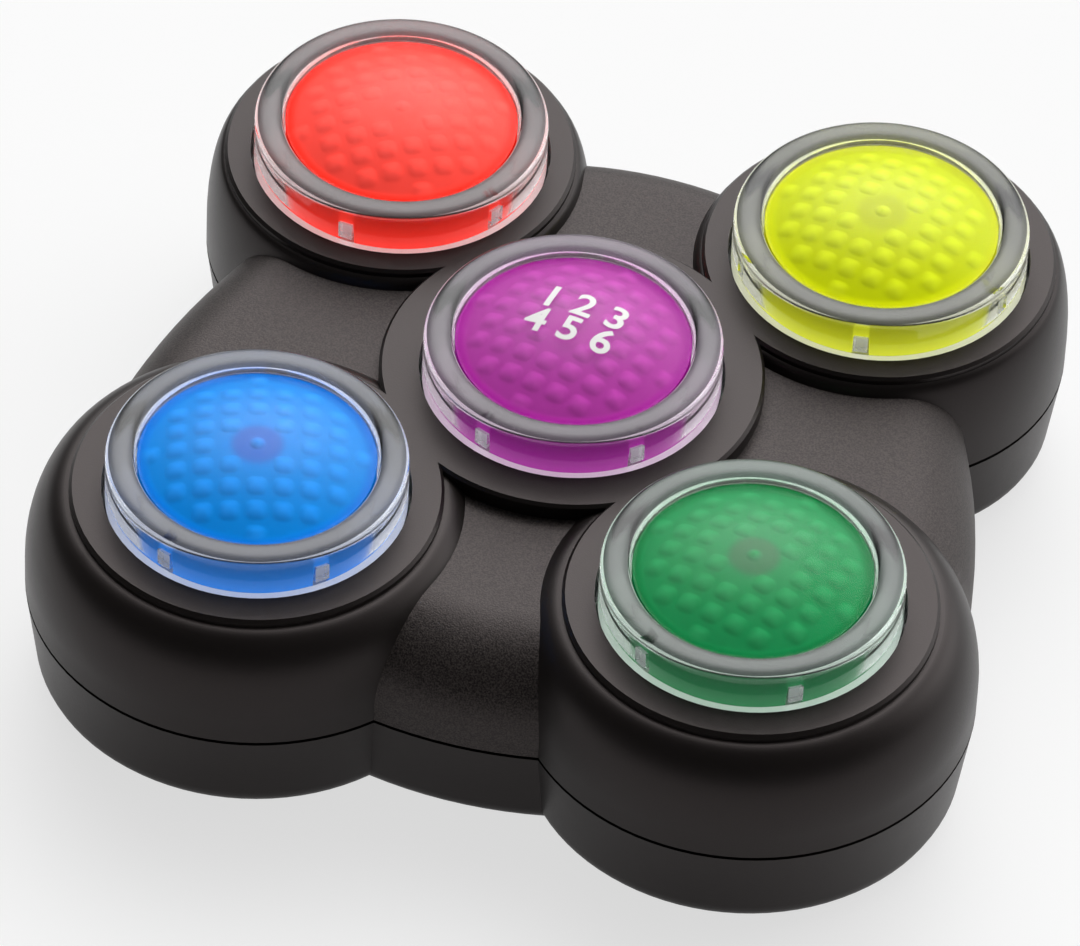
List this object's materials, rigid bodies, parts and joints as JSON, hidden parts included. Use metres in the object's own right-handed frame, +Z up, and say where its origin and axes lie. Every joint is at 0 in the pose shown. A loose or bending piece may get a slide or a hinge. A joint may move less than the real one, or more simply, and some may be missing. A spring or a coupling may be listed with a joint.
{
  "type": "electronic memory game",
  "caption": "Low four-lobed black table-top memory game with domed light-up push buttons in clear rings, one on each lobe and one in the middle.",
  "frame": {"origin": "on the table under the middle of the outline", "axes": "+X to the player's right, +Y away from the player, +Z up"},
  "size_m": [0.122, 0.118, 0.0399],
  "materials": {
    "case_black": "fine-grained black moulding",
    "clear_plastic": "clear polished",
    "plunger_white": "white moulding",
    "dome_silicone": "grey silicone",
    "foot_rubber": "black rubber",
    "screw_steel": "zinc plated",
    "plated_steel": "nickel plated",
    "board_green": "solder mask",
    "contact_gold": "gilt copper",
    "chip_epoxy": "black epoxy",
    "magnet_dark": "sintered ferrite",
    "cone_paper": "black paper",
    "cell_jacket": "plain jacket",
    "lead_red": "insulated wire",
    "lead_black": "insulated wire",
    "lens_red": "translucent tinted moulding",
    "led_red": "tinted epoxy lamp",
    "lens_yellow": "translucent tinted moulding",
    "led_yellow": "tinted epoxy lamp",
    "lens_blue": "translucent tinted moulding",
    "led_blue": "tinted epoxy lamp",
    "lens_green": "translucent tinted moulding",
    "led_green": "tinted epoxy lamp",
    "lens_purple": "translucent tinted moulding",
    "led_purple": "tinted epoxy lamp"
  },
  "bodies": {
    "case": {"upper_case": "case_black", "lower_case": "case_black", "case_screws": "screw_steel", "rubber_feet": "foot_rubber", "circuit_board": "board_green", "board_screws": "screw_steel", "contact_rings": "contact_gold", "controller_chip": "chip_epoxy", "board_capacitor": "chip_epoxy", "board_resistors": "chip_epoxy", "speaker_frame": "plated_steel", "speaker_magnet": "magnet_dark", "speaker_cone": "cone_paper", "cell_front": "cell_jacket", "cell_middle": "cell_jacket", "cell_rear": "cell_jacket", "cell_springs": "plated_steel", "cell_contacts": "plated_steel", "switch_body": "plated_steel", "battery_leads": "lead_red", "speaker_leads": "lead_black", "switch_leads": "lead_black", "rubber_dome_red": "dome_silicone", "led_red": "led_red", "rubber_dome_yellow": "dome_silicone", "led_yellow": "led_yellow", "rubber_dome_blue": "dome_silicone", "led_blue": "led_blue", "rubber_dome_green": "dome_silicone", "led_green": "led_green", "rubber_dome_purple": "dome_silicone", "led_purple": "led_purple"},
    "battery_door": {"battery_door": "case_black", "door_screws": "screw_steel"},
    "power_slider": {"switch_slider": "case_black"},
    "button_red": {"ring_red": "clear_plastic", "lens_red": "lens_red", "plunger_red": "plunger_white"},
    "button_yellow": {"ring_yellow": "clear_plastic", "lens_yellow": "lens_yellow", "plunger_yellow": "plunger_white"},
    "button_blue": {"ring_blue": "clear_plastic", "lens_blue": "lens_blue", "plunger_blue": "plunger_white"},
    "button_green": {"ring_green": "clear_plastic", "lens_green": "lens_green", "plunger_green": "plunger_white"},
    "button_purple": {"ring_purple": "clear_plastic", "lens_purple": "lens_purple", "plunger_purple": "plunger_white"}
  },
  "joints": [
    {"name": "press_red", "type": "slide", "parent": "case", "child": "button_red", "axis": [0, 0, -1], "range_m": [0, 0.0025], "stiffness_N_per_m": 600, "springref_m": -0.0008, "deforming": ["rubber_dome_red"]},
    {"name": "press_yellow", "type": "slide", "parent": "case", "child": "button_yellow", "axis": [0, 0, -1], "range_m": [0, 0.0025], "stiffness_N_per_m": 600, "springref_m": -0.0008, "deforming": ["rubber_dome_yellow"]},
    {"name": "press_blue", "type": "slide", "parent": "case", "child": "button_blue", "axis": [0, 0, -1], "range_m": [0, 0.0025], "stiffness_N_per_m": 600, "springref_m": -0.0008, "deforming": ["rubber_dome_blue"]},
    {"name": "press_green", "type": "slide", "parent": "case", "child": "button_green", "axis": [0, 0, -1], "range_m": [0, 0.0025], "stiffness_N_per_m": 600, "springref_m": -0.0008, "deforming": ["rubber_dome_green"]},
    {"name": "press_purple", "type": "slide", "parent": "case", "child": "button_purple", "axis": [0, 0, -1], "range_m": [0, 0.0025], "stiffness_N_per_m": 600, "springref_m": -0.0008, "deforming": ["rubber_dome_purple"]},
    {"name": "power_slide", "type": "slide", "parent": "case", "child": "power_slider", "axis": [1, 0, 0], "range_m": [0, 0.004]},
    {"name": "door_lift", "type": "slide", "parent": "case", "child": "battery_door", "axis": [0, 0, -1], "range_m": [0, 0.03]}
  ]
}
